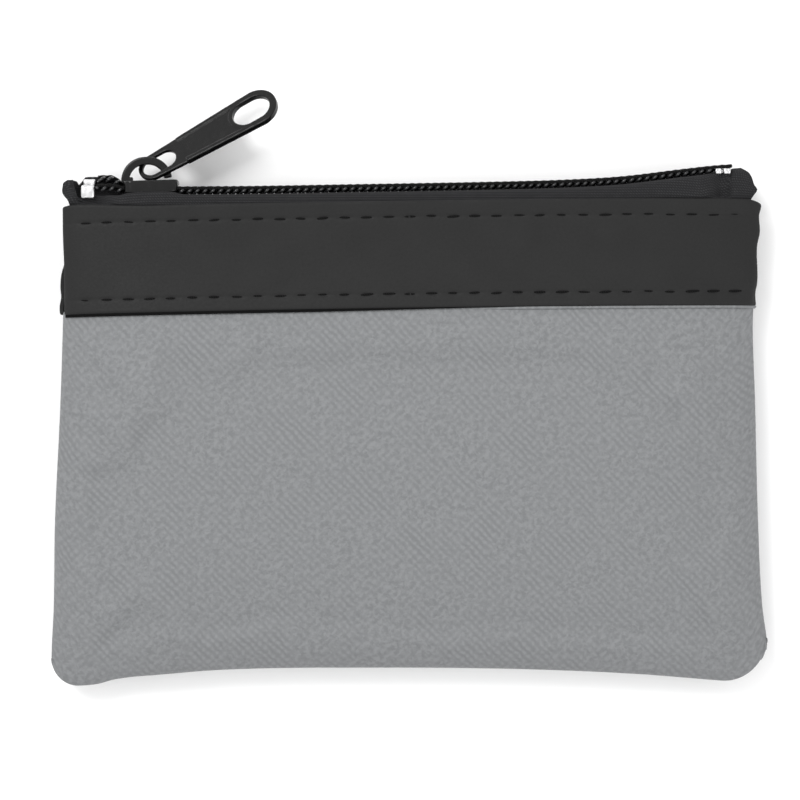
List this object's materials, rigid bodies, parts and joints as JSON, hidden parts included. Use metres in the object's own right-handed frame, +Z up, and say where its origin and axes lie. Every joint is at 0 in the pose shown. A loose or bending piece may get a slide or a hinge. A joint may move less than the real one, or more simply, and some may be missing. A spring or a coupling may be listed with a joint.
{
  "type": "zipped cash pouch",
  "caption": "Small flat zipped pouch for coins and notes: grey textured fabric body, black band, nylon coil zip along the top, slider with a long pull tab.",
  "frame": {"origin": "centre of the flat area of the back panel that the pouch rests on, midway between the side seams", "axes": "+X along the zip from the slider's closed end to the bottom stop, +Y from the bottom seam to the zip, +Z up through the thickness, front panel on top"},
  "size_m": [0.129, 0.1073, 0.014],
  "materials": {
    "grey_fabric": "textured coated polyester, matte",
    "band_trim": "smooth black coated trim, low sheen",
    "zip_tape": "woven black tape, matte",
    "coil": "black nylon, semi-gloss",
    "coil_cord": "twisted black filler cord",
    "black_thread": "black polyester sewing thread",
    "grey_thread": "grey polyester sewing thread",
    "slider_metal": "black enamel on die-cast zinc, semi-gloss",
    "stop_metal": "bright bare metal"
  },
  "bodies": {
    "pouch": {"back_panel": "grey_fabric", "back_band": "band_trim", "back_zip_tape": "zip_tape", "back_coil": "coil", "back_coil_cord": "coil_cord", "back_coil_thread": "black_thread", "back_top_stop": "stop_metal", "front_top_stop": "stop_metal", "bottom_stop": "stop_metal", "back_upper_stitching": "black_thread", "back_lower_stitching": "black_thread", "left_seam_stitching": "grey_thread", "right_seam_stitching": "grey_thread", "bottom_seam_stitching": "grey_thread"},
    "front_wall": {"front_panel": "grey_fabric", "front_band": "band_trim", "front_zip_tape": "zip_tape", "front_coil": "coil", "front_coil_cord": "coil_cord", "front_coil_thread": "black_thread", "front_upper_stitching": "black_thread", "front_lower_stitching": "black_thread"},
    "slider": {"slider_body": "slider_metal"},
    "tab": {"pull_tab": "slider_metal"}
  },
  "joints": [
    {"name": "slider_travel", "type": "slide", "parent": "pouch", "child": "slider", "axis": [0.9995, 0.0314, 0], "range_m": [-0.005, 0.0965]},
    {"name": "mouth_opening", "type": "hinge", "parent": "pouch", "child": "front_wall", "pos_m": [0, -0.0448, 0.006], "axis": [1, 0, 0], "range_deg": [-0.48, 9.1], "deforming": ["front_zip_tape", "front_coil", "front_coil_cord", "front_coil_thread"]},
    {"name": "tab_swing", "type": "hinge", "parent": "slider", "child": "tab", "pos_m": [-0.04736, 0.04766, 0.006], "axis": [0, 0, 1], "range_deg": [0, 110]}
  ],
  "couplings": [
    {"joint": "mouth_opening", "follows": "slider_travel", "rad_per_m": 1.6278}
  ]
}
